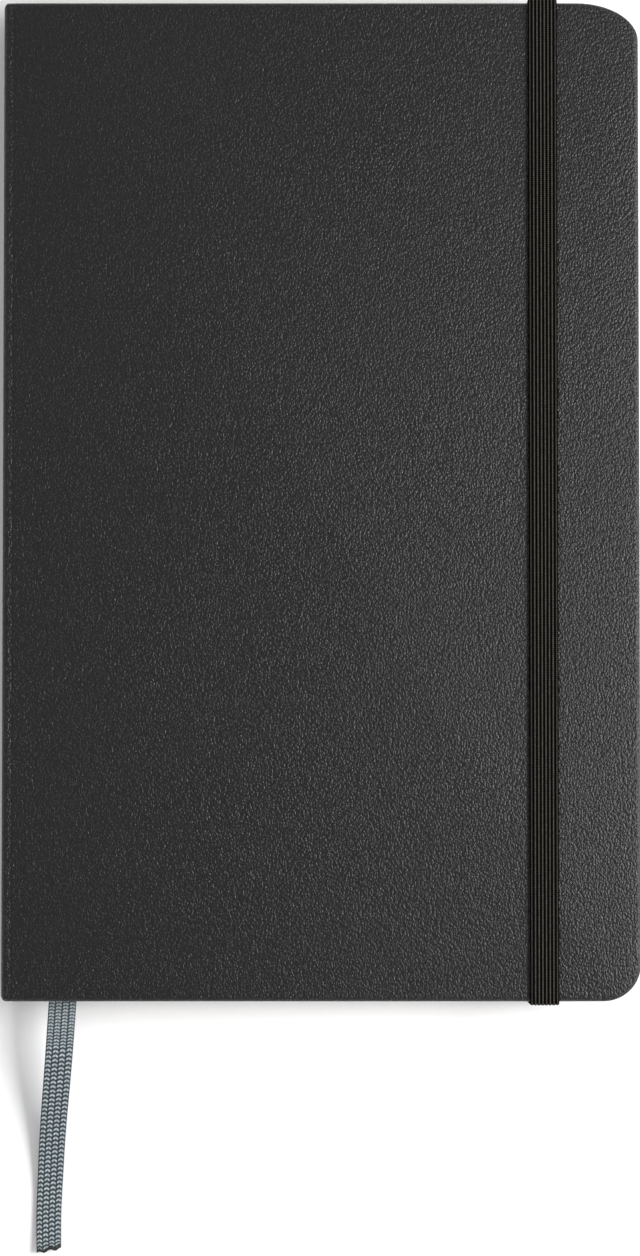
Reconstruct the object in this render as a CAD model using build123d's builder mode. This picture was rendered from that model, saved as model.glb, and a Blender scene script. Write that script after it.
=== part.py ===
"""Hardcover sketchbook: a case-bound book of sewn sections with an elastic closure and a ribbon marker.

The book lies closed on its back cover. +X runs from the spine to the fore-edge, +Y to the head, and +Z
up through the pages. The origin is on the table, under the middle of the covers. Sizes in millimetres.
"""
from build123d import *
import math
import os

# covers
COVER_WIDTH = 133.4
COVER_HEIGHT = 209.6
BOOK_THICKNESS = 17.0
CORNER_RADIUS = 7.8
HEAD_CORNER_LENGTH = 13.0
HEAD_CORNER_HEIGHT = 8.0
EDGE_ROUND = 0.5
SKIN = 0.35
BOARD = 2.0
PASTEDOWN = 0.15
FLYLEAF = 0.15
TURN_IN = 12.0

# spine
SPINE_BOARD = 1.0
SHOULDER_RADIUS = 1.2
SPINE_LIP = 2.1
BOARD_SETBACK = 3.0
LINING = 0.18
MULL = 0.18
MULL_MARGIN = 7.0
GLUE_GAP = 0.03
THREAD_RADIUS = 0.18
THREAD_CENTRE = 2.0
STATION_PITCH = 36.0
STATIONS = 5
BAND_RADIUS = 0.7

# book block
SQUARE = 3.0
SECTIONS = 8
BLOCK_SETBACK = 2.3
LEAF_GAP = 0.03
FOLD_SHARE = 0.45
RIBBON_SPACE = 0.6

# elastic closure
ELASTIC_WIDTH = 6.1
ELASTIC_THICKNESS = 0.8
ELASTIC_FROM_FORE_EDGE = 20.2
ELASTIC_CLEARANCE = 0.05
TAB_LENGTH = 24.0
TAB_BOTTOM = 1.9
STRAP_TURN = 1.0

# ribbon marker: the tail's route starts where the ribbon leaves the block
RIBBON_WIDTH = 5.9
RIBBON_THICKNESS = 0.4
RIBBON_HEAD_X = -54.3
ARC_SHARE = 0.45
RIBBON_ROUTE = [
    (-54.1, -101.8, 8.5),
    (-54.7, -111.0, 8.3),
    (-55.6, -121.5, 5.9),
    (-56.7, -132.5, 2.7),
    (-57.3, -143.0, 0.9),
    (-57.7, -152.0, 0.7),
    (-57.5, -158.6, 1.2),
]

HALF_WIDTH = COVER_WIDTH / 2
HALF_HEIGHT = COVER_HEIGHT / 2
MIDDLE = Plane.XY.offset(BOOK_THICKNESS / 2)
BOARD_TOP = SKIN + BOARD
TURN_IN_TOP = BOARD_TOP + SKIN
PASTEDOWN_TOP = TURN_IN_TOP + PASTEDOWN
BLOCK_BOTTOM = PASTEDOWN_TOP + FLYLEAF
BOARD_LEFT = -HALF_WIDTH + BOARD_SETBACK
BLOCK_LEFT = -HALF_WIDTH + BLOCK_SETBACK
BLOCK_HALF_HEIGHT = HALF_HEIGHT - SQUARE
SECTION_PITCH = (BOOK_THICKNESS / 2 - RIBBON_SPACE / 2 - BLOCK_BOTTOM) / (SECTIONS / 2)
ELASTIC_X = HALF_WIDTH - ELASTIC_FROM_FORE_EDGE
TAB_INNER_END = HALF_HEIGHT - TAB_LENGTH
ELASTIC_OUTSIDE = HALF_HEIGHT + ELASTIC_CLEARANCE + ELASTIC_THICKNESS


def leaf_outline(left, inset):
    """Draw, in the open sketch, a sheet that is square at the spine side and rounded at the fore-edge."""
    right = HALF_WIDTH - inset
    with Locations(((left + right) / 2, 0)):
        Rectangle(right - left, 2 * (HALF_HEIGHT - inset))
    fillet(vertices().group_by(Axis.X)[-1], radius=CORNER_RADIUS - inset)


def cover_outline(inset):
    """Draw, in the open sketch, a cover's board: round at the tail corner, longer drawn at the head corner."""
    right = HALF_WIDTH - inset
    top = HALF_HEIGHT - inset
    radius = CORNER_RADIUS - inset
    length = HEAD_CORNER_LENGTH - inset
    height = HEAD_CORNER_HEIGHT - inset
    with BuildLine() as outline:
        Line((BOARD_LEFT, -top), (right - radius, -top))
        CenterArc((right - radius, -top + radius), radius, -90, 90)
        Line((right, -top + radius), (right, top - height))
        EllipticalCenterArc((right - length, top - height), length, height, arc_size=90)
        Line((right - length, top), (BOARD_LEFT, top))
        Line((BOARD_LEFT, top), (BOARD_LEFT, -top))
    make_face(outline.edges())


def cut_tab_slots(bottom, top):
    """Cut, in the open part, the two slots in which the elastic's ends are glued."""
    length = TAB_LENGTH + ELASTIC_CLEARANCE
    with BuildSketch(Plane.XY.offset(bottom)) as slots:
        with Locations((ELASTIC_X, TAB_INNER_END + length / 2), (ELASTIC_X, -TAB_INNER_END - length / 2)):
            Rectangle(ELASTIC_WIDTH, length)
    extrude(slots.sketch, amount=top - bottom, mode=Mode.SUBTRACT)


def make_board(slotted):
    """Return the stiff board of a cover, as it lies in the back cover."""
    with BuildPart() as board:
        with BuildSketch(Plane.XY.offset(SKIN)):
            cover_outline(SKIN)
        extrude(amount=BOARD)
        if slotted:
            cut_tab_slots(TAB_BOTTOM, BOARD_TOP)
    return board.part


def make_skin(slotted):
    """Return the covering of a board, turned in over its head, tail and fore-edge."""
    with BuildPart() as skin:
        with BuildSketch():
            cover_outline(0)
        extrude(amount=TURN_IN_TOP)
        outline = edges().group_by(Axis.Z)[0]
        fillet(outline.sort_by(Axis.X)[1:], radius=EDGE_ROUND)
        with BuildSketch(Plane.XY.offset(SKIN)):
            cover_outline(SKIN)
        extrude(amount=BOARD, mode=Mode.SUBTRACT)
        right = HALF_WIDTH - TURN_IN
        with BuildSketch(Plane.XY.offset(BOARD_TOP)):
            with Locations(((BOARD_LEFT + right) / 2, 0)):
                Rectangle(right - BOARD_LEFT, 2 * (HALF_HEIGHT - TURN_IN))
        extrude(amount=SKIN, mode=Mode.SUBTRACT)
        if slotted:
            cut_tab_slots(TAB_BOTTOM, TURN_IN_TOP)
    return skin.part


def make_pastedown(slotted):
    """Return the endpaper half that is pasted over the board and its turn-ins."""
    with BuildPart() as pastedown:
        right = HALF_WIDTH - TURN_IN
        with BuildSketch(Plane.XY.offset(BOARD_TOP)):
            with Locations(((BOARD_LEFT + right) / 2, 0)):
                Rectangle(right - BOARD_LEFT, 2 * (HALF_HEIGHT - TURN_IN))
        extrude(amount=SKIN)
        if slotted:
            cut_tab_slots(BOARD_TOP, TURN_IN_TOP)
        with BuildSketch(Plane.XY.offset(TURN_IN_TOP)):
            leaf_outline(BOARD_LEFT, SQUARE)
        extrude(amount=PASTEDOWN)
    return pastedown.part


def make_flyleaf():
    """Return the endpaper half that turns as the first or last leaf."""
    with BuildPart() as flyleaf:
        with BuildSketch(Plane.XY.offset(PASTEDOWN_TOP + LEAF_GAP)):
            leaf_outline(BLOCK_LEFT, SQUARE)
        extrude(amount=FLYLEAF - LEAF_GAP)
    return flyleaf.part


def make_section(bottom):
    """Return one folded and sewn section of leaves, rounded along its fold."""
    with BuildPart() as section:
        with BuildSketch(Plane.XY.offset(bottom + LEAF_GAP)):
            leaf_outline(BLOCK_LEFT, SQUARE)
        extrude(amount=SECTION_PITCH - LEAF_GAP)
        fold = edges().filter_by(Axis.Y).group_by(Axis.X)[0]
        fillet(fold, radius=FOLD_SHARE * SECTION_PITCH)
    return section.part


def save(piece, name):
    """Label one finished piece and write its STEP file."""
    piece.label = name
    export_step(piece, f"parts/{name}.step")


os.makedirs("parts", exist_ok=True)

# ---- both covers: the front one is the back one mirrored about the book's middle, without slots
for kind, make in (("board", make_board), ("skin", make_skin), ("pastedown", make_pastedown)):
    save(make(slotted=True), f"back_{kind}")
    plain = make(slotted=False)
    with BuildPart() as front_piece:
        mirror(plain, about=MIDDLE)
    save(front_piece.part, f"front_{kind}")

# ---- flyleaves
back_flyleaf = make_flyleaf()
save(back_flyleaf, "back_flyleaf")
with BuildPart() as front_flyleaf:
    mirror(back_flyleaf, about=MIDDLE)
save(front_flyleaf.part, "front_flyleaf")

# ---- sections: section_1 is under the front cover, and the last one is over the back cover
for number in range(1, SECTIONS + 1):
    place_from_cover = min(number - 1, SECTIONS - number)
    section_part = make_section(BLOCK_BOTTOM + place_from_cover * SECTION_PITCH)
    if number <= SECTIONS / 2:
        with BuildPart() as upper_section:
            mirror(section_part, about=MIDDLE)
        section_part = upper_section.part
    save(section_part, f"section_{number}")

# ---- spine board
board_face = -HALF_WIDTH + SKIN
board_height = 2 * (HALF_HEIGHT - SKIN)
with BuildPart() as spine_board:
    with BuildSketch(Plane.XZ.offset(-board_height / 2)):
        with Locations((board_face + SPINE_BOARD / 2, BOOK_THICKNESS / 2)):
            Rectangle(SPINE_BOARD, BOOK_THICKNESS - 2 * SKIN)
        fillet(vertices().group_by(Axis.X)[0], radius=SHOULDER_RADIUS - SKIN)
    extrude(amount=board_height)
save(spine_board.part, "spine_board")

# ---- spine skin: a channel round the spine board, closed over its head and tail ends
with BuildPart() as spine_skin:
    with BuildSketch(Plane.XZ.offset(-HALF_HEIGHT)):
        with Locations((-HALF_WIDTH + SPINE_LIP / 2, BOOK_THICKNESS / 2)):
            Rectangle(SPINE_LIP, BOOK_THICKNESS)
        fillet(vertices().group_by(Axis.X)[0], radius=SHOULDER_RADIUS)
    extrude(amount=COVER_HEIGHT)
    add(spine_board.part, mode=Mode.SUBTRACT)
    inner_face = board_face + SPINE_BOARD
    lip_length = SPINE_LIP - SKIN - SPINE_BOARD
    with Locations((inner_face + lip_length / 2, 0, BOOK_THICKNESS / 2)):
        Box(lip_length, COVER_HEIGHT, BOOK_THICKNESS - 2 * SKIN, mode=Mode.SUBTRACT)
save(spine_skin.part, "spine_skin")

# ---- strips glued to the back of the block
block_thickness = BOOK_THICKNESS - 2 * BLOCK_BOTTOM
lining_face = inner_face + GLUE_GAP
with BuildPart() as spine_lining:
    with Locations((lining_face + LINING / 2, 0, BOOK_THICKNESS / 2)):
        Box(LINING, 2 * BLOCK_HALF_HEIGHT, block_thickness)
save(spine_lining.part, "spine_lining")

mull_face = lining_face + LINING + GLUE_GAP
with BuildPart() as mull:
    with Locations((mull_face + MULL / 2, 0, BOOK_THICKNESS / 2)):
        Box(MULL, 2 * (BLOCK_HALF_HEIGHT - MULL_MARGIN), block_thickness)
save(mull.part, "mull")

# ---- sewing thread: a chain of stitches over the folds at each sewing station
thread_length = block_thickness - SECTION_PITCH
with BuildPart() as sewing_thread:
    with BuildSketch(Plane.XY.offset((BOOK_THICKNESS - thread_length) / 2)):
        with Locations((-HALF_WIDTH + THREAD_CENTRE, 0)):
            with GridLocations(1, STATION_PITCH, 1, STATIONS):
                Circle(THREAD_RADIUS)
    extrude(amount=thread_length)
save(sewing_thread.part, "sewing_thread")

# ---- head and tail bands: cords along the ends of the block's back
band_y = BLOCK_HALF_HEIGHT + BAND_RADIUS + ELASTIC_CLEARANCE
for name, side in (("head_band", 1), ("tail_band", -1)):
    with BuildPart() as band:
        with BuildSketch(Plane.XY.offset(BLOCK_BOTTOM)):
            with Locations((BLOCK_LEFT + BAND_RADIUS, side * band_y)):
                Circle(BAND_RADIUS)
        extrude(amount=block_thickness)
    save(band.part, name)

# ---- elastic ends glued between the back board and its pastedown
with BuildPart() as elastic_tabs:
    with BuildSketch(Plane.XY.offset(TAB_BOTTOM)):
        for side in (1, -1):
            with Locations((ELASTIC_X, side * (TAB_INNER_END + TAB_LENGTH / 2))):
                Rectangle(ELASTIC_WIDTH, TAB_LENGTH)
    extrude(amount=TURN_IN_TOP - TAB_BOTTOM)
save(elastic_tabs.part, "elastic_tabs")

# ---- elastic side runs, up past the book's head and tail edges
strap_bottom = BOOK_THICKNESS + ELASTIC_CLEARANCE
turn_bottom = strap_bottom - STRAP_TURN
run_y = ELASTIC_OUTSIDE - ELASTIC_THICKNESS / 2
for name, side in (("elastic_head_end", 1), ("elastic_tail_end", -1)):
    with BuildPart() as side_run:
        with Locations((ELASTIC_X, side * run_y, (TAB_BOTTOM + turn_bottom) / 2)):
            Box(ELASTIC_WIDTH, ELASTIC_THICKNESS, turn_bottom - TAB_BOTTOM)
    save(side_run.part, name)

# ---- elastic strap across the front cover, turned down over the head and tail edges
with BuildPart() as elastic_strap:
    strap_top = strap_bottom + ELASTIC_THICKNESS
    with BuildSketch(Plane.YZ.offset(ELASTIC_X - ELASTIC_WIDTH / 2)):
        with Locations((0, (turn_bottom + strap_top) / 2)):
            Rectangle(2 * ELASTIC_OUTSIDE, strap_top - turn_bottom)
        fillet(vertices().group_by(Axis.Y)[-1], radius=ELASTIC_THICKNESS / 2)
        with Locations((0, (turn_bottom + strap_bottom) / 2)):
            Rectangle(2 * (ELASTIC_OUTSIDE - ELASTIC_THICKNESS), STRAP_TURN, mode=Mode.SUBTRACT)
    extrude(amount=ELASTIC_WIDTH)
save(elastic_strap.part, "elastic_strap")

# ---- ribbon inside the block, from its head end beside the spine to the tail edge
run_end = Vector(*RIBBON_ROUTE[0])
run_start = Vector(RIBBON_HEAD_X, BLOCK_HALF_HEIGHT, run_end.Z)
ribbon_bottom = run_end.Z - RIBBON_THICKNESS / 2
with BuildPart() as ribbon_run:
    with BuildSketch(Plane.XY.offset(ribbon_bottom)):
        with BuildLine():
            half = RIBBON_WIDTH / 2
            Polyline(
                (run_start.X - half, run_start.Y),
                (run_start.X + half, run_start.Y),
                (run_end.X + half, run_end.Y),
                (run_end.X - half, run_end.Y),
                close=True,
            )
        make_face()
    extrude(amount=RIBBON_THICKNESS)
save(ribbon_run.part, "ribbon_run")

# ---- ribbon tail: free, down to the table past the tail edge
route = [Vector(*point) for point in RIBBON_ROUTE]
radii = []
for before, corner, after in zip(route, route[1:], route[2:]):
    turn = (corner - before).get_angle(after - corner)
    shorter = min((corner - before).length, (after - corner).length)
    radii.append(ARC_SHARE * shorter / math.tan(math.radians(turn / 2)))
print("ribbon radii:", [round(radius, 1) for radius in radii])

with BuildPart() as ribbon_tail:
    with BuildLine() as ribbon_path:
        FilletPolyline(*route, radius=radii)
    with BuildSketch(Plane.XZ.offset(-run_end.Y)):
        with Locations((run_end.X, run_end.Z)):
            Rectangle(RIBBON_WIDTH, RIBBON_THICKNESS)
    sweep(path=ribbon_path.line)
ribbon_length = ribbon_path.wire().length
volume_ratio = ribbon_tail.part.volume / (RIBBON_WIDTH * RIBBON_THICKNESS * ribbon_length)
print(f"ribbon length {ribbon_length:.1f}, volume over section times length {volume_ratio:.3f}")
print("ribbon lowest point", round(ribbon_tail.part.bounding_box().min.Z, 3))
save(ribbon_tail.part, "ribbon_tail")
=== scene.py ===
"""Hardcover sketchbook: case covering, leaves, elastic closure and ribbon marker, dressed over a fixed frame.

Everything is in metres, in the frame's own axes: +X from the spine to the fore-edge, +Y to the head and
+Z up through the pages. The book lies closed on its back cover.
"""
import logging
import math
import random
from collections.abc import Callable, Sequence
from dataclasses import dataclass, field
from enum import Enum

import bmesh
import bpy
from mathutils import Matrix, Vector


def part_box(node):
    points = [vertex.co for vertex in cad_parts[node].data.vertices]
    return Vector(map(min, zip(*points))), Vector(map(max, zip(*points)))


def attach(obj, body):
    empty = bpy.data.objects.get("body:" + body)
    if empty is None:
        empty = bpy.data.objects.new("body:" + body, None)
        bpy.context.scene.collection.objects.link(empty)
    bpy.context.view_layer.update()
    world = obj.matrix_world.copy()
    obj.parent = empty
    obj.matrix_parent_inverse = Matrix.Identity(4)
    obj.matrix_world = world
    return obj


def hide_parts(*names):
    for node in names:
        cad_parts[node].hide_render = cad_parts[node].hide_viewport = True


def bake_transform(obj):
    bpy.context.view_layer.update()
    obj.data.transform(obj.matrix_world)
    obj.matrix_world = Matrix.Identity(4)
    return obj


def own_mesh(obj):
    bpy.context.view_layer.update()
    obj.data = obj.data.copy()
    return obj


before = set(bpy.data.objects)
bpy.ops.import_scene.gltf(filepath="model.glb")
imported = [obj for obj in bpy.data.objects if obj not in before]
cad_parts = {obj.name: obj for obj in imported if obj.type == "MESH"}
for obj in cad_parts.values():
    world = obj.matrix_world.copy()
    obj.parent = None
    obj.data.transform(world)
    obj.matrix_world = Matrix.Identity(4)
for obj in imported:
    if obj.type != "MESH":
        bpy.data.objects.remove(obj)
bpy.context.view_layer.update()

MM = 0.001
HAIR = 0.01 * MM          # the distance within which two places count as one
WAVE_BANDS = 3.1831       # bands in a unit that a wave texture makes at scale 1
LOG = logging.getLogger("sketchbook")


class Side(Enum):
    """The two covers of the book."""

    FRONT = "front"
    BACK = "back"


class End(Enum):
    """The two ends of the book, with the sign of their direction along Y."""

    HEAD = 1
    TAIL = -1


# ------------------------------------------------------------------------------------------ helpers


def linear(hex_colour: str) -> tuple[float, float, float, float]:
    """Turn an sRGB hex colour into linear values.

    Args:
        hex_colour: six hex digits after a hash sign.

    Returns:
        Red, green and blue from 0 to 1, and an alpha of 1.
    """
    channels = [int(hex_colour[i : i + 2], 16) / 255 for i in (1, 3, 5)]
    bent = [c / 12.92 if c <= 0.04045 else ((c + 0.055) / 1.055) ** 2.4 for c in channels]
    return (bent[0], bent[1], bent[2], 1.0)


def add_node(
    tree: bpy.types.NodeTree,
    kind: str,
    settings: dict[str, object] | None = None,
    values: dict[str | int, object] | None = None,
    links: dict[str | int, bpy.types.NodeSocket] | None = None,
) -> bpy.types.Node:
    """Add a node, set it up and link what feeds it.

    Args:
        tree: the node tree that the node joins.
        kind: the node's Blender type name.
        settings: the node's own properties.
        values: constants for its inputs, by name or number.
        links: the output socket that feeds each input, by name or number.

    Returns:
        The new node.
    """
    node = tree.nodes.new(kind)
    for name, value in (settings or {}).items():
        setattr(node, name, value)
    for key, value in (values or {}).items():
        node.inputs[key].default_value = value
    for key, socket in (links or {}).items():
        tree.links.new(socket, node.inputs[key])
    return node


def add_math(
    tree: bpy.types.NodeTree,
    operation: str,
    values: dict[int, float] | None = None,
    links: dict[int, bpy.types.NodeSocket] | None = None,
) -> bpy.types.Node:
    """Add a math node.

    Args:
        tree: the node tree that the node joins.
        operation: the sum that it works out.
        values: constants for its inputs, by number.
        links: the output socket that feeds each input, by number.

    Returns:
        The new node.
    """
    return add_node(tree, "ShaderNodeMath", {"operation": operation}, values, links)


def add_noise(
    tree: bpy.types.NodeTree,
    where: bpy.types.NodeSocket,
    scale: float,
    detail: float,
    distortion: float = 0.0,
) -> bpy.types.Node:
    """Add a noise texture.

    Args:
        tree: the node tree that the node joins.
        where: the socket that gives the place, in metres.
        scale: the number of blotches in a metre.
        detail: how many finer layers lie over them.
        distortion: how far the blotches are pulled about.

    Returns:
        The new node.
    """
    values = {"Scale": scale, "Detail": detail, "Distortion": distortion}
    return add_node(tree, "ShaderNodeTexNoise", values=values, links={"Vector": where})


def add_range(
    tree: bpy.types.NodeTree,
    value: bpy.types.NodeSocket,
    source: tuple[float, float],
    target: tuple[float, float],
) -> bpy.types.Node:
    """Add a node that maps one range of values to another.

    Args:
        tree: the node tree that the node joins.
        value: the socket that is mapped.
        source: the lowest and highest value that come in.
        target: the values that they become.

    Returns:
        The new node.
    """
    names = ("From Min", "From Max", "To Min", "To Max")
    values = dict(zip(names, source + target))
    return add_node(tree, "ShaderNodeMapRange", values=values, links={"Value": value})


def add_bump(
    tree: bpy.types.NodeTree, height: bpy.types.NodeSocket, strength: float, distance: float
) -> bpy.types.Node:
    """Add a bump node, whose relief is a distance in metres at full height."""
    values = {"Strength": strength, "Distance": distance}
    return add_node(tree, "ShaderNodeBump", values=values, links={"Height": height})


def mix_colours(
    tree: bpy.types.NodeTree, low: str, high: str, factor: bpy.types.NodeSocket
) -> bpy.types.Node:
    """Add a node that goes from one sRGB hex colour to another as its factor goes from 0 to 1."""
    colours = {"A": linear(low), "B": linear(high)}
    return add_node(tree, "ShaderNodeMix", {"data_type": "RGBA"}, colours, {"Factor": factor})


def deselect() -> None:
    """Leave edit mode and deselect every object."""
    if bpy.context.object and bpy.context.object.mode != "OBJECT":
        bpy.ops.object.mode_set(mode="OBJECT")
    bpy.ops.object.select_all(action="DESELECT")


def take_up(piece: bpy.types.Object) -> None:
    """Make a piece the only selected and the active object."""
    deselect()
    piece.select_set(True)
    bpy.context.view_layer.objects.active = piece


def place(name: str, mesh: bpy.types.Mesh) -> bpy.types.Object:
    """Put a mesh into the scene as a named object at the origin."""
    piece = bpy.data.objects.new(name, mesh)
    bpy.context.scene.collection.objects.link(piece)
    return piece


def pick_edges(piece: bpy.types.Object, wanted: Callable[[bmesh.types.BMEdge], bool]) -> None:
    """Select, in edit mode, the edges for which a test is true.

    Args:
        piece: the object that is in edit mode.
        wanted: the test that each edge is put to.
    """
    bpy.ops.mesh.select_mode(type="EDGE")
    bpy.ops.mesh.select_all(action="DESELECT")
    shape = bmesh.from_edit_mesh(piece.data)
    for edge in shape.edges:
        edge.select = wanted(edge)
    bmesh.update_edit_mesh(piece.data)


def extrude_profile(name: str, profile: Sequence[tuple[float, float]], reach: float) -> bpy.types.Object:
    """Extrude an X-Z profile from -reach to +reach along Y.

    Args:
        name: the piece's name.
        profile: the corners of the closed profile, in order.
        reach: half the length along Y.

    Returns:
        A closed solid, in object mode.
    """
    mesh = bpy.data.meshes.new(name)
    mesh.from_pydata([(x, -reach, z) for x, z in profile], [], [tuple(range(len(profile)))])
    piece = place(name, mesh)
    take_up(piece)
    bpy.ops.object.mode_set(mode="EDIT")
    bpy.ops.mesh.select_all(action="SELECT")
    bpy.ops.mesh.extrude_region_move(TRANSFORM_OT_translate={"value": (0, 2 * reach, 0)})
    bpy.ops.mesh.select_all(action="SELECT")
    bpy.ops.mesh.normals_make_consistent(inside=False)
    bpy.ops.object.mode_set(mode="OBJECT")
    return piece


def apply_modifier(piece: bpy.types.Object, kind: str, **settings: object) -> None:
    """Add a modifier to a piece, set it up and apply it.

    Args:
        piece: the object that is changed.
        kind: the modifier's Blender type name.
        settings: the modifier's own properties.
    """
    take_up(piece)
    modifier = piece.modifiers.new(kind.title(), kind)
    for name, value in settings.items():
        setattr(modifier, name, value)
    bpy.ops.object.modifier_apply(modifier=modifier.name)


def smooth(piece: bpy.types.Object, degrees: float = 35.0) -> None:
    """Shade a piece smooth, apart from edges sharper than an angle."""
    take_up(piece)
    bpy.ops.object.shade_smooth_by_angle(angle=math.radians(degrees))


def ease(value: float) -> float:
    """Return a smooth step from 0 to 1, for a value clamped to that range."""
    t = min(max(value, 0.0), 1.0)
    return t * t * (3 - 2 * t)


# ----------------------------------------------------------------------------------------- finishes


@dataclass(frozen=True)
class Finish:
    """A surface finish, built as one node material."""

    name: str

    def start(self, roughness: float) -> tuple[bpy.types.Material, bpy.types.NodeTree, bpy.types.Node]:
        """Make the material with a shader of one roughness.

        Args:
            roughness: the shader's roughness where nothing varies it.

        Returns:
            The material, its node tree and its shader node.
        """
        material = bpy.data.materials.new(self.name)
        material.use_nodes = True
        tree = material.node_tree
        shader = tree.nodes["Principled BSDF"]
        shader.inputs["Roughness"].default_value = roughness
        return material, tree, shader

    @staticmethod
    def cover(
        tree: bpy.types.NodeTree, shader: bpy.types.Node, colour: bpy.types.Node, bump: bpy.types.Node
    ) -> None:
        """Feed a mixed colour and a bump to the shader."""
        tree.links.new(colour.outputs["Result"], shader.inputs["Base Color"])
        tree.links.new(bump.outputs[0], shader.inputs["Normal"])

    def object_place(self, tree: bpy.types.NodeTree) -> bpy.types.NodeSocket:
        """Return the socket that gives the place on the object, in metres."""
        return add_node(tree, "ShaderNodeTexCoord").outputs["Object"]


@dataclass(frozen=True)
class PebbledLeatherette(Finish):
    """Polyurethane-coated covering, embossed with a fine pebbled grain: satin, nearly black."""

    name: str = "pebbled_leatherette"
    # painted shade: low is the colour of the grain's creases, high that of the pebbles' tops
    low: str = "#060606"
    high: str = "#0d0d0e"
    pebble: float = 0.42 * MM
    draw: float = 0.65
    depth: float = 0.18 * MM
    wandering: float = 1.6
    fine_share: float = 0.35
    cloud_scale: float = 28.0
    specular: float = 0.42
    roughness: tuple[float, float] = (0.33, 0.41)

    def build(self) -> bpy.types.Material:
        """Return the material: pebbles with painted shade in the creases between them, and slow changes of
        sheen.
        """
        material, tree, shader = self.start(sum(self.roughness) / 2)
        shader.inputs["Specular IOR Level"].default_value = self.specular
        where = self.object_place(tree)
        # the grain's cells are pulled about, so that creases run on as short wrinkles
        wander = add_noise(tree, where, 0.5 / self.pebble, 2.0)
        centred = add_node(
            tree,
            "ShaderNodeVectorMath",
            {"operation": "SUBTRACT"},
            {1: (0.5, 0.5, 0.5)},
            {0: wander.outputs["Color"]},
        )
        shift = add_node(
            tree,
            "ShaderNodeVectorMath",
            {"operation": "SCALE"},
            {"Scale": self.wandering * self.pebble},
            {0: centred.outputs[0]},
        )
        pulled = add_node(
            tree, "ShaderNodeVectorMath", {"operation": "ADD"}, links={0: where, 1: shift.outputs[0]}
        )
        drawn = add_node(
            tree,
            "ShaderNodeVectorMath",
            {"operation": "MULTIPLY"},
            {1: (1.0, self.draw, 1.0)},
            {0: pulled.outputs[0]},
        )
        cells = add_node(
            tree,
            "ShaderNodeTexVoronoi",
            {"feature": "SMOOTH_F1"},
            {"Scale": 1.0 / self.pebble, "Smoothness": 0.35},
            {"Vector": drawn.outputs[0]},
        )
        fine = add_noise(tree, where, 3.2 / self.pebble, 3.0)
        domes = add_math(tree, "MULTIPLY_ADD", {1: -1.1, 2: 1.0}, {0: cells.outputs["Distance"]})
        height = add_math(
            tree, "MULTIPLY_ADD", {1: self.fine_share}, {0: fine.outputs["Fac"], 2: domes.outputs[0]}
        )
        bump = add_bump(tree, height.outputs[0], 0.9, self.depth)
        clouds = add_noise(tree, where, self.cloud_scale, 4.0)
        # painted shade: the colour darkens from the pebbles' tops down into the creases between them
        colour = mix_colours(tree, self.low, self.high, domes.outputs[0])
        gloss = add_range(tree, clouds.outputs["Fac"], (0.3, 0.7), self.roughness)
        tree.links.new(gloss.outputs[0], shader.inputs["Roughness"])
        self.cover(tree, shader, colour, bump)
        return material


@dataclass(frozen=True)
class WovenThread(Finish):
    """Thread goods with painted shade in the gaps between the raised threads: colour follows the strip's own
    relief.
    """

    name: str = "woven_thread"
    gap_shade: str = "#000000"
    thread: str = "#ffffff"
    cut: str = "#120f0d"
    stitch: float = 0.8 * MM
    roughness: float = 0.7
    sheen: float = 0.2
    uneven: float = 0.35
    shine: float = 0.5
    cross_pitch: float = 0.0
    sharpness: float = 1.0
    fuzz: float = 0.05 * MM

    def build(self) -> bpy.types.Material:
        """Return the material: painted shade in the gaps, lighter threads that differ a little, and a dark
        sealed end.
        """
        material, tree, shader = self.start(self.roughness)
        shader.inputs["Sheen Weight"].default_value = self.sheen
        shader.inputs["Sheen Roughness"].default_value = 0.4
        shader.inputs["Specular IOR Level"].default_value = self.shine
        strip = add_node(tree, "ShaderNodeUVMap", {"uv_map": "strip"}).outputs[0]
        relief = add_node(tree, "ShaderNodeAttribute", {"attribute_name": "relief"}).outputs["Fac"]
        sealed = add_node(tree, "ShaderNodeAttribute", {"attribute_name": "sealed"}).outputs["Fac"]
        # the strip's map is in metres, so one cell of this noise is about one stitch
        patches = add_noise(tree, strip, 1.0 / self.stitch, 1.0)
        fibres = add_noise(tree, strip, 9.0 / self.stitch, 2.0)
        shade = add_range(tree, patches.outputs["Fac"], (0.3, 0.7), (1.0 - self.uneven, 1.0))
        # painted shade: a higher power narrows the lit thread tops and widens the shaded gaps
        tops = add_math(tree, "POWER", {1: self.sharpness}, {0: relief})
        lit_share = add_math(tree, "MULTIPLY", links={0: tops.outputs[0], 1: shade.outputs[0]})
        if self.cross_pitch:
            lit_share = self.cross_stitches(tree, strip, lit_share)
        # the gap colour is painted shade between the threads, the thread colour is the lit thread
        threads = mix_colours(tree, self.gap_shade, self.thread, lit_share.outputs[0])
        colour = add_node(
            tree,
            "ShaderNodeMix",
            {"data_type": "RGBA"},
            {"B": linear(self.cut)},
            {"Factor": sealed, "A": threads.outputs["Result"]},
        )
        bump = add_bump(tree, fibres.outputs["Fac"], 0.5, self.fuzz)
        self.cover(tree, shader, colour, bump)
        return material

    def cross_stitches(
        self, tree: bpy.types.NodeTree, strip: bpy.types.NodeSocket, lit_share: bpy.types.Node
    ) -> bpy.types.Node:
        """Break the threads into stitches that repeat along the strip, with painted shade in the breaks
        between them.

        Args:
            tree: the material's node tree.
            strip: the strip's map, in metres.
            lit_share: the node that gives how far the threads stand up.

        Returns:
            The node that gives the same with painted shade in the breaks between the stitches.
        """
        wave = add_node(
            tree,
            "ShaderNodeTexWave",
            {"bands_direction": "Y"},
            {
                "Scale": 1 / (WAVE_BANDS * self.cross_pitch),
                "Distortion": 2.5,
                "Detail": 1.0,
                "Detail Scale": 2.0,
            },
            {"Vector": strip},
        )
        # painted shade: the wave darkens the threads between one stitch and the next
        breaks = add_range(tree, wave.outputs["Fac"], (0.1, 0.7), (0.45, 1.0))
        return add_math(tree, "MULTIPLY", links={0: lit_share.outputs[0], 1: breaks.outputs[0]})


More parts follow.
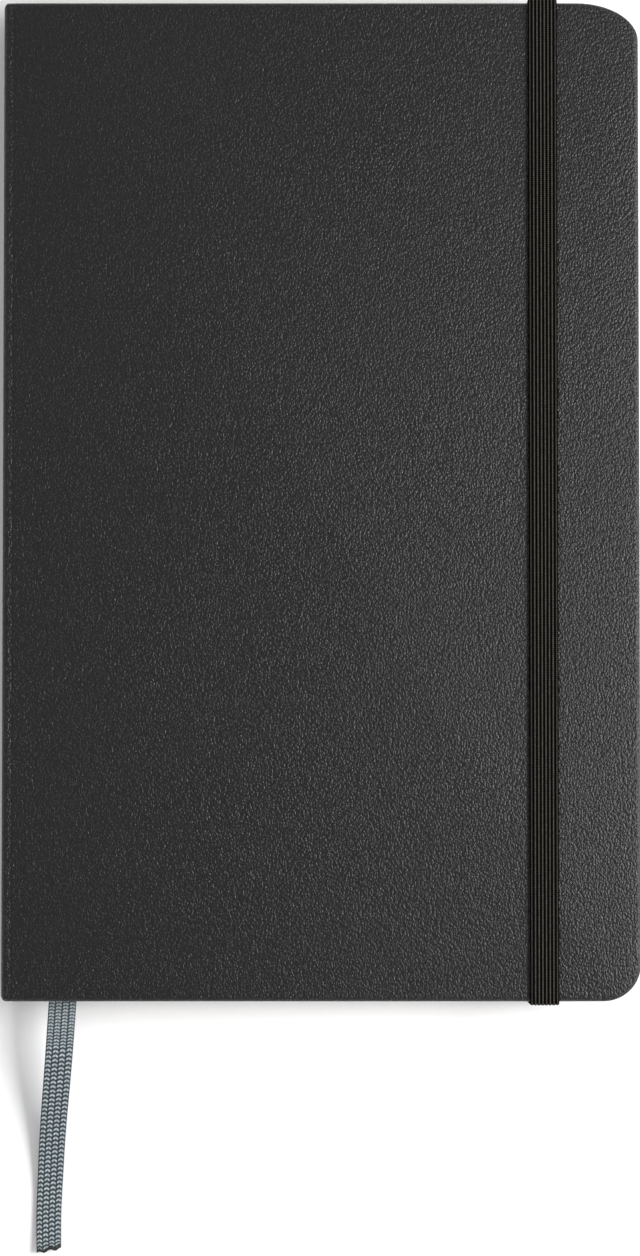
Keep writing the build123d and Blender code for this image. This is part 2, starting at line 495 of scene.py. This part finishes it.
@dataclass(frozen=True)
class Paper(Finish):
    """Uncoated paper or board: matt, with a light tooth and faint fibres."""

    name: str = "paper"
    base: str = "#efe9dc"
    fleck: str = "#ddd5c4"
    tooth: float = 0.35 * MM
    fleck_share: float = 0.5
    tooth_height: float = 0.03 * MM

    def build(self) -> bpy.types.Material:
        """Return the material: an even colour with fibres, and a fine tooth."""
        material, tree, shader = self.start(0.86)
        shader.inputs["Specular IOR Level"].default_value = 0.3
        where = self.object_place(tree)
        fibres = add_noise(tree, where, 0.25 / self.tooth, 5.0, 1.2)
        tooth = add_noise(tree, where, 1.0 / self.tooth, 3.0)
        share = add_range(tree, fibres.outputs["Fac"], (0.45, 0.75), (0.0, self.fleck_share))
        colour = mix_colours(tree, self.base, self.fleck, share.outputs[0])
        bump = add_bump(tree, tooth.outputs["Fac"], 0.35, self.tooth_height)
        self.cover(tree, shader, colour, bump)
        return material


@dataclass(frozen=True)
class StripedCloth(Finish):
    """Cloth with threads of two colours that take turns along one axis, such as a head band or gauze."""

    name: str = "striped_cloth"
    first: str = "#f0ede4"
    second: str = "#2a2b2e"
    pitch: float = 1.1 * MM
    along: str = "Z"
    relief: float = 0.1 * MM

    def build(self) -> bpy.types.Material:
        """Return the material: bands of thread with rounded relief."""
        material, tree, shader = self.start(0.8)
        shader.inputs["Sheen Weight"].default_value = 0.2
        where = self.object_place(tree)
        bands = add_node(
            tree,
            "ShaderNodeTexWave",
            {"wave_type": "BANDS", "bands_direction": self.along},
            {"Scale": 1 / (WAVE_BANDS * self.pitch), "Distortion": 0.4},
            {"Vector": where},
        )
        sharp = add_range(tree, bands.outputs["Fac"], (0.42, 0.58), (0.0, 1.0))
        colour = mix_colours(tree, self.first, self.second, sharp.outputs[0])
        bump = add_bump(tree, bands.outputs["Fac"], 0.7, self.relief)
        self.cover(tree, shader, colour, bump)
        return material


LEATHERETTE = PebbledLeatherette().build()
# painted shade: the near-black gap colour stands for the shade between the elastic's ribs and stitches
ELASTIC = WovenThread(
    name="knitted_elastic",
    gap_shade="#010101",
    thread="#5e5a53",
    stitch=0.8 * MM,
    roughness=0.9,
    sheen=0.0,
    shine=0.05,
    cross_pitch=0.42 * MM,
    sharpness=4.0,
).build()
# painted shade: the dark blue gap colour stands for the shade between the braid's plaits
BRAID = WovenThread(
    name="herringbone_braid",
    gap_shade="#08151d",
    thread="#cddbe2",
    stitch=0.95 * MM,
    roughness=0.5,
    sheen=0.15,
    sharpness=1.7,
).build()
DRAWING_PAPER = Paper("drawing_paper", "#e2dac8", "#d3c9b3").build()
ENDPAPER = Paper("endpaper", "#dcd4c1", "#cdc3ad", 0.5 * MM).build()
GREYBOARD = Paper("greyboard", "#98928a", "#6d675f", 0.6 * MM, 0.9).build()
KRAFT = Paper("kraft_paper", "#a98a63", "#7f6344", 0.5 * MM, 0.8).build()
GAUZE = StripedCloth("starched_gauze", "#dcd6c6", "#a9a28f", 0.9 * MM, "Y").build()
BAND_CLOTH = StripedCloth("striped_band_cloth").build()
LINEN = StripedCloth("waxed_linen", "#e6e0d0", "#c2baa6", 0.5 * MM).build()


def dress(node: str, material: bpy.types.Material) -> None:
    """Give a CAD node its material, on every slot that it has."""
    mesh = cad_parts[node].data
    mesh.materials.clear()
    mesh.materials.append(material)
    LOG.info("dressed %s with %s", node, material.name)


# ------------------------------------------------------------------------------------ strip weaving


@dataclass
class Strip:
    """A flat strip of thread goods that follows a path, with its threads in relief."""

    name: str
    path: list[Vector]
    width: float
    thickness: float
    columns: int
    relief: Callable[[float, float], float]
    height: float
    narrowing: Callable[[float], float] = field(default=lambda share: 1.0)
    ragged: Callable[[float], float] = field(default=lambda across: 0.0)
    sealed: float = 0.0
    edge_power: int = 8

    def across(self, at: int) -> Vector:
        """Return the level direction across the strip at a path point, or +X where the path is upright."""
        ahead = self.path[min(at + 1, len(self.path) - 1)] - self.path[max(at - 1, 0)]
        level = Vector((ahead.y, -ahead.x, 0))
        if abs(ahead.y) < 2 * abs(ahead.x) or level.length < ahead.length / 100:
            return Vector((1, 0, 0))
        return level.normalized() * (1 if level.x > 0 else -1)

    @staticmethod
    def towards_end(past: float, length: float) -> float:
        """Return how far a place is into the last length of the strip, from 0 to 1, or 0 without a length.

        Args:
            past: how far the place is past the strip's end, below 0 before it.
            length: the length over which the share rises.

        Returns:
            The eased share.
        """
        return ease((past + length) / length) if length else 0.0

    def weave(self, material: bpy.types.Material) -> bpy.types.Object:
        """Build the closed strip, with its map in metres and its relief as an attribute that also carries
        painted shade towards the rounded edges.

        Args:
            material: the finish of the whole strip.

        Returns:
            The strip as an object at the origin.
        """
        runs = [0.0]
        for a, b in zip(self.path, self.path[1:]):
            runs.append(runs[-1] + (b - a).length)
        total = runs[-1]
        columns = self.columns
        points: list[Vector] = []
        lit_share: list[float] = []
        burnt: list[float] = []
        flat: list[tuple[float, float]] = []
        for i, centre in enumerate(self.path):
            side = self.across(i)
            ahead = self.path[min(i + 1, len(self.path) - 1)] - self.path[max(i - 1, 0)]
            ahead.normalize()
            out = side.cross(ahead).normalized()
            half = self.width / 2 * self.narrowing(runs[i] / total)
            for face in (1, -1):
                for c in range(columns + 1):
                    u = (-1 + 2 * c / columns) * face
                    level = self.relief(u, runs[i])
                    rim = math.sqrt(max(0.0, 1 - abs(u) ** self.edge_power))
                    lift = face * (self.thickness / 2 * (0.35 + 0.65 * rim) + self.height * level * rim)
                    back = self.ragged(u) * self.towards_end(runs[i] - total, 3 * self.sealed)
                    points.append(centre + side * (u * half) + out * lift - ahead * back)
                    # painted shade: the colour share drops towards the strip's rounded edges, on top of the
                    # shade in the gaps
                    lit_share.append(level * (0.45 + 0.55 * rim))
                    burnt.append(self.towards_end(runs[i] + 0.6 * self.ragged(u) - total, self.sealed))
                    flat.append((u * half, runs[i]))
        ring = 2 * (columns + 1)
        faces = []
        for i in range(len(self.path) - 1):
            for c in range(ring):
                d = (c + 1) % ring
                faces.append((i * ring + c, i * ring + d, (i + 1) * ring + d, (i + 1) * ring + c))
        last = (len(self.path) - 1) * ring
        for start in (0, last):
            for c in range(columns):
                low = start + ring - 1 - c
                quad = (start + c, low, low - 1, start + c + 1)
                faces.append(quad if start == 0 else quad[::-1])
        mesh = bpy.data.meshes.new(self.name)
        mesh.from_pydata(points, [], faces)
        for name, values in (("relief", lit_share), ("sealed", burnt)):
            mesh.attributes.new(name, "FLOAT", "POINT").data.foreach_set("value", values)
        layer = mesh.uv_layers.new(name="strip")
        for loop in mesh.loops:
            layer.data[loop.index].uv = flat[loop.vertex_index]
        mesh.materials.append(material)
        piece = place(self.name, mesh)
        take_up(piece)
        bpy.ops.object.mode_set(mode="EDIT")
        bpy.ops.mesh.select_all(action="SELECT")
        bpy.ops.mesh.normals_make_consistent(inside=False)
        bpy.ops.object.mode_set(mode="OBJECT")
        smooth(piece, 60)
        return piece


# ------------------------------------------------------------------------------------- case covering


@dataclass
class CaseCovering:
    """The covering of one cover with half of the spine, from the spine's middle to the fore-edge."""

    side: Side
    shoulder: float = 1.2 * MM
    hinge_drop: float = 0.13 * MM
    hinge_width: float = 2.1 * MM
    hinge_wall: float = 0.25 * MM
    spine_wall: float = 1.36 * MM
    spine_end: float = 0.5 * MM
    web: float = 1.6 * MM
    web_gap: float = 0.1 * MM
    skin: float = 0.35 * MM
    tail_corner: float = 7.8 * MM
    head_corner: float = 8.0 * MM
    head_corner_length: float = 13.0 * MM
    rim: float = 1.0 * MM
    inner_rim: float = 0.3 * MM

    def profile(self) -> list[tuple[float, float]]:
        """Return the closed X-Z profile of the back cover's covering, which the front one mirrors."""
        low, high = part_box("back_skin")
        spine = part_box("spine_skin")[0].x
        middle = (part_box("spine_skin")[0].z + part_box("spine_skin")[1].z) / 2
        arc_steps = 6
        wall_steps = 4
        points = [(spine, middle)]
        for step in range(arc_steps + 1):
            turn = math.radians(90) * step / arc_steps
            x = spine + self.shoulder * (1 - math.cos(turn))
            points.append((x, self.hinge_drop + self.shoulder * (1 - math.sin(turn))))
        # the hinge lies a little lower than the board, whose edge shows through as a small step
        wall = spine + self.hinge_width
        for step in range(1, wall_steps):
            share = step / wall_steps
            x = spine + self.shoulder + share * (self.hinge_width - self.shoulder)
            points.append((x, self.hinge_drop))
        for step in range(wall_steps + 1):
            share = step / wall_steps
            points.append((wall + share * self.hinge_wall, self.hinge_drop * (1 - ease(share))))
        points += [(high.x, 0.0), (high.x, high.z), (low.x + self.skin, high.z)]
        points += [(low.x - self.web_gap, self.web), (spine + self.spine_wall, self.web)]
        points.append((spine + self.spine_wall, middle))
        return points

    def build(self) -> bpy.types.Object:
        """Build the covering and round its corners and rims."""
        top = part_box("spine_skin")[1].z
        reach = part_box("back_skin")[1].y
        fore_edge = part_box("back_skin")[1].x
        points = self.profile()
        if self.side is Side.FRONT:
            points = [(x, top - z) for x, z in points]
        piece = extrude_profile(f"{self.side.value}_covering", points, reach)
        take_up(piece)
        bpy.ops.object.mode_set(mode="EDIT")
        for end, radius in ((End.TAIL, self.tail_corner), (End.HEAD, self.head_corner)):
            edge_y = end.value * reach
            pick_edges(piece, lambda e: self.is_corner(e, fore_edge, edge_y))
            bpy.ops.mesh.bevel(offset=radius, segments=16, affect="EDGES", clamp_overlap=False)
        self.draw_out_head_corner(piece, fore_edge, reach)
        outside = 0.0 if self.side is Side.BACK else top
        pick_edges(piece, lambda e: self.is_rim(e, outside, top / 2))
        bpy.ops.mesh.bevel(offset=self.rim, segments=5, affect="EDGES", clamp_overlap=False)
        inside = abs(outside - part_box("back_skin")[1].z)
        pick_edges(piece, lambda e: self.is_inner_rim(e, inside))
        bpy.ops.mesh.bevel(offset=self.inner_rim, segments=2, affect="EDGES", clamp_overlap=False)
        bpy.ops.object.mode_set(mode="OBJECT")
        self.round_spine_ends(piece, reach)
        piece.data.materials.append(LEATHERETTE)
        smooth(piece, 40)
        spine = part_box("spine_skin")[0].x
        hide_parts(f"{self.side.value}_skin")
        if self.side is Side.BACK:
            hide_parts("spine_skin")
        start, end = spine + self.spine_wall, spine + self.hinge_width + self.hinge_wall
        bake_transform(piece)
        LOG.info("made %s", piece.name)
        return piece

    @staticmethod
    def upright(edge: bmesh.types.BMEdge) -> bool:
        """Say whether an edge runs along Z."""
        a, b = (v.co for v in edge.verts)
        return abs(a.z - b.z) > 0.9 * (a - b).length

    def is_corner(self, edge: bmesh.types.BMEdge, fore_edge: float, end_y: float) -> bool:
        """Say whether an edge is the upright corner where the fore-edge meets one end."""
        at_fore_edge = all(v.co.x > fore_edge - HAIR for v in edge.verts)
        return self.upright(edge) and at_fore_edge and abs(edge.verts[0].co.y - end_y) < HAIR

    @staticmethod
    def is_inner_rim(edge: bmesh.types.BMEdge, inside: float) -> bool:
        """Say whether an edge is a sharp rim, over 1 radian, of the cover's inner face."""
        return all(abs(v.co.z - inside) < HAIR for v in edge.verts) and edge.calc_face_angle(0) > 1

    def draw_out_head_corner(self, piece: bpy.types.Object, fore_edge: float, reach: float) -> None:
        """Stretch the head corner along the head edge, in edit mode, from a quarter circle to an ellipse."""
        shape = bmesh.from_edit_mesh(piece.data)
        for vertex in shape.verts:
            off_x, off_y = fore_edge - vertex.co.x, reach - vertex.co.y
            if max(off_x, off_y) < self.head_corner + HAIR:
                vertex.co.x = fore_edge - off_x * self.head_corner_length / self.head_corner
        bmesh.update_edit_mesh(piece.data)

    def round_spine_ends(self, piece: bpy.types.Object, reach: float) -> None:
        """Draw the head and tail ends in where the covering turns round the spine."""
        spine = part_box("spine_skin")[0].x
        for vertex in piece.data.vertices:
            co = vertex.co
            near = 1 - (co.x - spine) / self.spine_end
            if near > 0 and abs(co.y) > reach - 2 * self.spine_end:
                pull = self.spine_end * (1 - math.sqrt(1 - near * near))
                co.y -= math.copysign(pull, co.y)

    def is_rim(self, edge: bmesh.types.BMEdge, outside: float, middle: float) -> bool:
        """Say whether an edge is a sharp outer rim of the cover or of its half of the spine.

        Args:
            edge: the edge that is tested.
            outside: the level of the cover's outer face.
            middle: the level of the seam in the spine's middle.

        Returns:
            True where the outer face and an end or fore-edge face meet.
        """
        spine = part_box("spine_skin")[0].x
        a, b = (v.co for v in edge.verts)
        if edge.calc_face_angle(0.0) < math.radians(55) or (a.z == b.z == middle):
            return False
        on_face = all(abs(p.z - outside) < self.hinge_drop + HAIR for p in (a, b))
        on_shoulder = all(p.x < spine + self.shoulder + HAIR for p in (a, b))
        return on_face or on_shoulder


# ---------------------------------------------------------------------------------------- book block


@dataclass
class BookBlock:
    """The sewn sections, leaf by leaf."""

    leaves: int = 12
    paper: float = 0.088 * MM
    corner: float = 4.8 * MM
    bend: float = 7.0 * MM
    bend_steps: int = 12
    unevenness: float = 0.12 * MM
    closing: float = 0.27 * MM
    seed: int = 11

    def leaf(self, low: Vector, high: Vector) -> bpy.types.Object:
        """Model one flat leaf with rounded fore-edge corners and creases where it can bend.

        Args:
            low: the section's lowest corner.
            high: the section's highest corner.

        Returns:
            The leaf, as a sheet at the section's lowest level.
        """
        deselect()
        centre = (low + high) / 2
        bpy.ops.mesh.primitive_plane_add(size=1, location=(centre.x, centre.y, low.z))
        leaf = bpy.context.object
        leaf.scale = (high.x - low.x, high.y - low.y, 1)
        bpy.ops.object.transform_apply(location=True, rotation=True, scale=True)
        bpy.ops.object.mode_set(mode="EDIT")
        bpy.ops.mesh.select_mode(type="VERT")
        bpy.ops.mesh.select_all(action="DESELECT")
        shape = bmesh.from_edit_mesh(leaf.data)
        for vertex in shape.verts:
            vertex.select = vertex.co.x > centre.x
        bmesh.update_edit_mesh(leaf.data)
        bpy.ops.mesh.bevel(offset=self.corner, segments=10, affect="VERTICES")
        for step in range(1, self.bend_steps + 1):
            bpy.ops.mesh.select_all(action="SELECT")
            x = low.x + self.bend * step / self.bend_steps
            bpy.ops.mesh.bisect(plane_co=(x, 0, low.z), plane_no=(1, 0, 0))
        bpy.ops.object.mode_set(mode="OBJECT")
        return leaf

    def section(self, number: int, leaf: bpy.types.Object) -> bpy.types.Object:
        """Stack copies of the leaf into one section and set its fold, its uneven edges and its bend.

        Args:
            number: the section's place, counted from the front cover.
            leaf: the sheet that is copied.

        Returns:
            The finished section.
        """
        node = f"section_{number}"
        low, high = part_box(node)
        piece = place(f"{node}_leaves", leaf.data.copy())
        rise = low.z - min(v.co.z for v in piece.data.vertices)
        for vertex in piece.data.vertices:
            vertex.co.z += rise
        pitch = (high.z - low.z) / self.leaves
        apply_modifier(piece, "SOLIDIFY", thickness=self.paper, offset=1.0)
        settings = {"count": self.leaves, "use_relative_offset": False, "use_constant_offset": True}
        apply_modifier(piece, "ARRAY", constant_offset_displace=(0, 0, pitch), **settings)
        self.trim(piece, number, low, high, pitch)
        piece.data.materials.append(DRAWING_PAPER)
        smooth(piece, 30)
        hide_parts(node)
        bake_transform(piece)
        LOG.info("made %s", piece.name)
        return piece

    def trim(self, piece: bpy.types.Object, number: int, low: Vector, high: Vector, pitch: float) -> None:
        """Round the fold and make each leaf's edges differ a little, as trimmed and handled leaves do."""
        dice = random.Random(self.seed + number)
        inset = [[dice.uniform(0, self.unevenness) for _ in range(3)] for _ in range(self.leaves)]
        half = (high.z - low.z) / 2
        for vertex in piece.data.vertices:
            co = vertex.co
            leaf = min(int((co.z - low.z + pitch / 4) / pitch), self.leaves - 1)
            if co.x < low.x + HAIR:
                off = min(abs((leaf + 0.5) * pitch - half), half)
                co.x += half - math.sqrt(half * half - off * off)
            if co.x > high.x - 2 * self.corner:
                co.z += self.closing * self.closing_share(number, leaf)
            if co.x > high.x - 2 * MM:
                co.x -= inset[leaf][0]
            if co.y > high.y - 2 * MM:
                co.y -= inset[leaf][1]
            if co.y < low.y + 2 * MM:
                co.y += inset[leaf][2]

    def closing_share(self, number: int, leaf: int) -> float:
        """Return how far a leaf moves at the fore-edge, where the two middle sections close on each other."""
        if number == 4:
            return (leaf - self.leaves) / self.leaves
        return (leaf + 1) / self.leaves if number == 5 else 0.0

    def build(self) -> list[bpy.types.Object]:
        """Build every section."""
        low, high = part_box("section_8")
        leaf = self.leaf(low, high)
        numbers = [int(n.split("_")[1]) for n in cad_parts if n.startswith("section_")]
        sections = [self.section(number, leaf) for number in sorted(numbers)]
        bpy.data.objects.remove(leaf)
        return sections


# ----------------------------------------------------------------------------------- elastic closure


@dataclass
class ElasticClosure:
    """The knitted elastic: a strap across the front cover, and a run up each end of the book."""

    ribs: int = 8
    rib_height: float = 0.2 * MM
    body_thickness: float = 0.4 * MM
    bend: float = 0.45 * MM
    inside: float = 2.0 * MM
    fold_level: float = 0.9 * MM
    fold_keep: float = 0.11

    def ribbing(self, u: float, s: float) -> float:
        """Return the height share of the ribs, u from -1 to 1 across the strap and s metres along it."""
        phase = (u + 1) / 2 * self.ribs
        return math.sin(math.pi * phase) ** 2

    def corner(self, centre: tuple[float, float], start: float, x: float) -> list[Vector]:
        """Return a quarter arc of the path in the Y-Z plane, from an angle in degrees turning left."""
        steps = 5
        arc = []
        for step in range(steps + 1):
            turn = math.radians(start + 90 * step / steps)
            y, z = centre[0] + self.bend * math.cos(turn), centre[1] + self.bend * math.sin(turn)
            arc.append(Vector((x, y, z)))
        return arc

    def strip(self, name: str, path: list[Vector], width: float) -> Strip:
        """Return a ribbed strip on a path."""
        return Strip(
            name=name,
            path=path,
            width=width,
            thickness=self.body_thickness,
            columns=self.ribs * 8,
            relief=self.ribbing,
            height=self.rib_height,
        )

    def strap(self) -> bpy.types.Object:
        """Build the strap, turned down over the head and tail edges."""
        low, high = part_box("elastic_strap")
        x = (low.x + high.x) / 2
        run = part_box("elastic_head_end")
        level = high.z - self.body_thickness / 2 - self.rib_height
        y = (run[0].y + run[1].y) / 2
        path = [Vector((x, y, low.z)), Vector((x, y, (low.z + level) / 2))]
        path += self.corner((y - self.bend, level - self.bend), 0, x)
        spans = 40
        reach = y - self.bend
        path += [Vector((x, reach * (1 - 2 * step / spans), level)) for step in range(1, spans)]
        path += self.corner((-reach, level - self.bend), 90, x)
        path += [Vector((x, -y, (low.z + level) / 2)), Vector((x, -y, low.z))]
        piece = self.strip("elastic_band", path, high.x - low.x).weave(ELASTIC)
        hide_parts("elastic_strap")
        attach(piece, "elastic_strap")
        return piece

    def side_run(self, end: End) -> bpy.types.Object:
        """Build the run that comes out of the back cover's edge and goes up to the strap."""
        node = f"elastic_{end.name.lower()}_end"
        low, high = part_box(node)
        x = (low.x + high.x) / 2
        y = (low.y + high.y) / 2
        exit_z = (low.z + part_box("elastic_tabs")[1].z) / 2
        inner = abs(y) - self.inside
        path = [Vector((x, inner, exit_z)), Vector((x, (inner + abs(y) - self.bend) / 2, exit_z))]
        path += self.corner((abs(y) - self.bend, exit_z + self.bend), 270, x)
        steps = 12
        bottom = exit_z + self.bend
        rise = (high.z - bottom) / steps
        path += [Vector((x, abs(y), bottom + rise * step)) for step in range(1, steps + 1)]
        path = [Vector((p.x, p.y * end.value, p.z)) for p in path]
        piece = self.strip(f"{node}_run", path, high.x - low.x).weave(ELASTIC)
        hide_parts(node)
        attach(piece, "back_cover")
        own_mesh(piece)
        return piece

    def build(self) -> list[bpy.types.Object]:
        """Build the strap and both side runs."""
        dress("elastic_tabs", ELASTIC)
        pieces = [self.strap(), self.side_run(End.HEAD), self.side_run(End.TAIL)]
        for piece in pieces:
            LOG.info("made %s", piece.name)
        return pieces


# ------------------------------------------------------------------------------------ ribbon marker


@dataclass
class RibbonMarker:
    """The braided ribbon: a run between the leaves, and a free tail that falls to the table."""

    route: tuple[tuple[float, float, float], ...] = (
        (-0.0541, -0.1018, 0.0085),
        (-0.0547, -0.1110, 0.0083),
        (-0.0556, -0.1215, 0.0059),
        (-0.0567, -0.1325, 0.0027),
        (-0.0573, -0.1430, 0.0009),
        (-0.0577, -0.1520, 0.0007),
        (-0.0575, -0.1586, 0.0012),
    )
    width: float = 5.8 * MM
    body_thickness: float = 0.2 * MM
    thread_height: float = 0.11 * MM
    plaits: int = 4
    plait_pitch: float = 0.97 * MM
    slant: float = 0.42 * MM
    tight_length: float = 13.0 * MM
    tight_share: float = 0.4
    row: float = 0.12 * MM
    sealed: float = 1.1 * MM

    def herringbone(self, u: float, s: float) -> float:
        """Return the height share of the plaits, u from -1 to 1 across the ribbon and s metres along it."""
        place_in_row = (u + 1) / 2 * self.plaits
        plait = min(int(place_in_row), self.plaits - 1)
        q = 2 * (place_in_row - plait) - 1
        stagger = 0.31 * plait * self.plait_pitch
        # the plaits lie closer where the ribbon is pulled over the leaves' edge
        along = s + self.tight_share * min(s, self.tight_length)
        wave = math.cos(2 * math.pi * (along - self.slant * abs(q) + stagger) / self.plait_pitch)
        fullness = 0.9 - 0.35 * ease(1.5 - s / self.tight_length)
        ridge = max(0.0, 0.5 + 0.5 * wave) ** fullness
        valley = math.sqrt(max(0.0, 1 - abs(q) ** 3))
        # the parting is a groove down each plait's middle, which the braid's finish also paints as shade
        parting = 1 - 0.35 * math.exp(-((q / 0.16) ** 2))
        return ridge * valley * parting

    def centreline(self) -> list[Vector]:
        """Return evenly close points read from the smooth line that the route controls."""
        curve = bpy.data.curves.new("ribbon_line", "CURVE")
        curve.dimensions = "3D"
        spline = curve.splines.new("NURBS")
        spline.points.add(len(self.route) - 1)
        for point, where in zip(spline.points, self.route):
            point.co = (*where, 1.0)
        spline.order_u = 3
        spline.use_endpoint_u = True
        spline.resolution_u = 80
        holder = bpy.data.objects.new("ribbon_line", curve)
        bpy.context.scene.collection.objects.link(holder)
        line = bpy.data.meshes.new_from_object(holder)
        points = [v.co.copy() for v in line.vertices]
        bpy.data.objects.remove(holder)
        bpy.data.meshes.remove(line)
        return points

    def strip(self, name: str, path: list[Vector]) -> Strip:
        """Return a braided strip on a path."""
        return Strip(
            name=name,
            path=path,
            width=self.width,
            thickness=self.body_thickness,
            columns=self.plaits * 8,
            relief=self.herringbone,
            height=self.thread_height,
        )

    def tail(self) -> bpy.types.Object:
        """Build the free tail, a little narrower towards its dark, uneven cut end."""
        path = self.centreline()
        strip = self.strip("ribbon_tail_braid", path)
        strip.narrowing = lambda share: 1.0 - 0.10 * ease((share - 0.1) / 0.9)
        strip.ragged = lambda u: (0.55 + 0.42 * u + 0.22 * math.sin(7 * u + 1)) * MM
        strip.sealed = self.sealed
        piece = strip.weave(BRAID)
        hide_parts("ribbon_tail")
        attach(piece, "back_cover")
        return piece

    def run(self) -> bpy.types.Object:
        """Build the run between the leaves."""
        low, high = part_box("ribbon_run")
        first = Vector(((low.x + self.width / 2), high.y, (low.z + high.z) / 2))
        last = Vector(self.route[0])
        rows = int((first - last).length / (2 * self.row))
        path = [first.lerp(last, step / rows) for step in range(rows + 1)]
        piece = self.strip("ribbon_run_braid", path).weave(BRAID)
        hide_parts("ribbon_run")
        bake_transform(piece)
        return piece

    def build(self) -> list[bpy.types.Object]:
        """Build the tail and the run."""
        pieces = [self.tail(), self.run()]
        for piece in pieces:
            LOG.info("made %s", piece.name)
        return pieces


# ---------------------------------------------------------------------------------------- the studio


@dataclass
class Studio:
    """A pale floor, soft light from the right, and a camera nearly straight above the book."""

    distance: float = 0.85
    tilt: float = 2.6
    aim: tuple[float, float, float] = (-0.00023, -0.02698, 0.017)
    picture_height: float = 0.26244
    floor_size: float = 6.0
    floor_gap: float = 0.05 * MM
    key_place: tuple[float, float, float] = (0.65, -0.05, 0.55)
    key_size: float = 0.35
    key_power: float = 8.5
    wall_glow: float = 2.0
    room_glow: float = 0.55
    side_share: float = 0.8

    def camera(self) -> None:
        """Add the camera."""
        data = bpy.data.cameras.new("camera")
        data.lens = data.sensor_width * self.distance / self.picture_height
        data.clip_start = 0.01
        turn = math.radians(self.tilt)
        camera = bpy.data.objects.new("camera", data)
        camera.location = Vector(self.aim) + self.distance * Vector((0, -math.sin(turn), math.cos(turn)))
        camera.rotation_euler = (turn, 0, 0)
        bpy.context.scene.collection.objects.link(camera)
        bpy.context.scene.camera = camera

    def floor(self) -> None:
        """Add the floor, a plane just under the book."""
        deselect()
        bpy.ops.mesh.primitive_plane_add(size=self.floor_size, location=(0, 0, -self.floor_gap))
        floor = bpy.context.object
        floor.name = "studio_floor"
        floor.data.materials.append(Paper("studio_paper", "#f6f6f7", "#f3f3f4").build())

    def softbox(self, name: str, place_at: tuple[float, float, float], size: float, power: float) -> None:
        """Add a square area light that faces the book.

        Args:
            name: the light's name.
            place_at: its centre.
            size: the length of its sides.
            power: its power in watts.
        """
        data = bpy.data.lights.new(name, "AREA")
        data.size = size
        data.energy = power
        light = bpy.data.objects.new(name, data)
        light.location = place_at
        light.visible_camera = False
        light.rotation_euler = Vector(place_at).to_track_quat("Z", "Y").to_euler()
        bpy.context.scene.collection.objects.link(light)

    def build(self) -> None:
        """Set up the camera, the floor and the lights."""
        self.camera()
        self.floor()
        self.softbox("key", self.key_place, self.key_size, self.key_power)
        self.surroundings()

    def surroundings(self) -> None:
        """Light the room evenly, with a brighter low wall at the fore-edge side."""
        world = bpy.context.scene.world or bpy.data.worlds.new("studio")
        bpy.context.scene.world = world
        world.use_nodes = True
        tree = world.node_tree
        direction = add_node(tree, "ShaderNodeTexCoord").outputs["Generated"]
        parts = add_node(tree, "ShaderNodeSeparateXYZ", links={0: direction}).outputs
        # the wall's glow falls off steeply upwards, so that the covers mirror an even room
        low = add_math(tree, "SUBTRACT", {0: 1.0}, {1: parts["Z"]})
        low.use_clamp = True
        steep = add_math(tree, "POWER", {1: 2.0}, {0: low.outputs[0]})
        towards = add_math(tree, "MAXIMUM", {1: 0.0}, {0: parts["X"]})
        side = {1: self.side_share, 2: 1 - self.side_share}
        share = add_math(tree, "MULTIPLY_ADD", side, {0: towards.outputs[0]})
        walls = add_math(tree, "MULTIPLY", links={0: steep.outputs[0], 1: share.outputs[0]})
        glow = add_math(tree, "MULTIPLY_ADD", {1: self.wall_glow, 2: self.room_glow}, {0: walls.outputs[0]})
        tree.links.new(glow.outputs[0], tree.nodes["Background"].inputs["Strength"])
        tree.nodes["Background"].inputs["Color"].default_value = (1.0, 1.0, 1.0, 1.0)
        bpy.context.scene.view_settings.view_transform = "Standard"


def dress_inner_parts() -> None:
    """Give every CAD node that stays its own finish."""
    finishes = {
        GREYBOARD: ("front_board", "back_board", "spine_board"),
        ENDPAPER: ("front_pastedown", "back_pastedown", "front_flyleaf", "back_flyleaf"),
        KRAFT: ("spine_lining",),
        GAUZE: ("mull",),
        LINEN: ("sewing_thread",),
        BAND_CLOTH: ("head_band", "tail_band"),
    }
    for material, nodes in finishes.items():
        for node in nodes:
            dress(node, material)


def main() -> None:
    """Build the studio and the book."""
    logging.basicConfig(level=logging.INFO, format="%(name)s: %(message)s")
    Studio().build()
    RibbonMarker().build()
    for side in Side:
        CaseCovering(side).build()
    BookBlock().build()
    ElasticClosure().build()
    dress_inner_parts()
    deselect()


if __name__ == "__main__":
    main()
